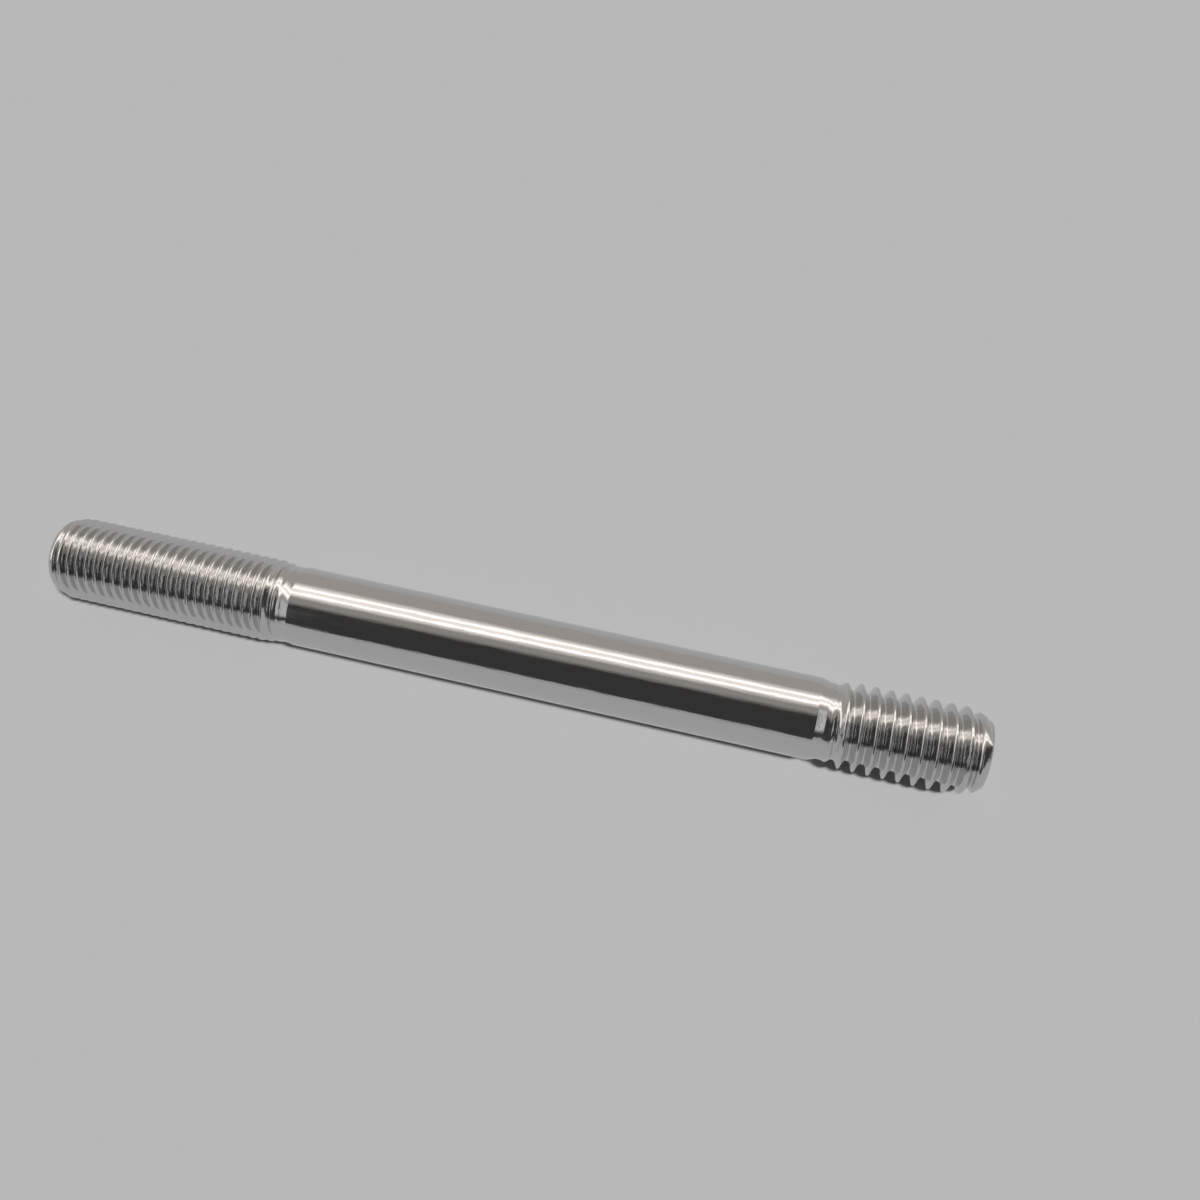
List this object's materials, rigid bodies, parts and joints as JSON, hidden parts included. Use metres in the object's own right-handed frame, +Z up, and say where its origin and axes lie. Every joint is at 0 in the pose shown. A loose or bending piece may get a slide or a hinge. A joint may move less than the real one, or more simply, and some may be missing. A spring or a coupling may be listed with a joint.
{
  "type": "double-ended stud bolt",
  "caption": "Steel stud bolt with a fine thread at its nut end, a plain shank and a coarse thread at its tap end.",
  "frame": {"origin": "middle of the stud's length, on the surface that it lies on", "axes": "+X along the stud towards its coarse tap end, +Z up; the stud's axis is 5.375 mm above the surface"},
  "size_m": [0.1206, 0.0106, 0.0108],
  "materials": {
    "stainless_steel": "polished stainless steel with a fine turned grain"
  },
  "bodies": {
    "root": {"stud": "stainless_steel"}
  },
  "joints": []
}
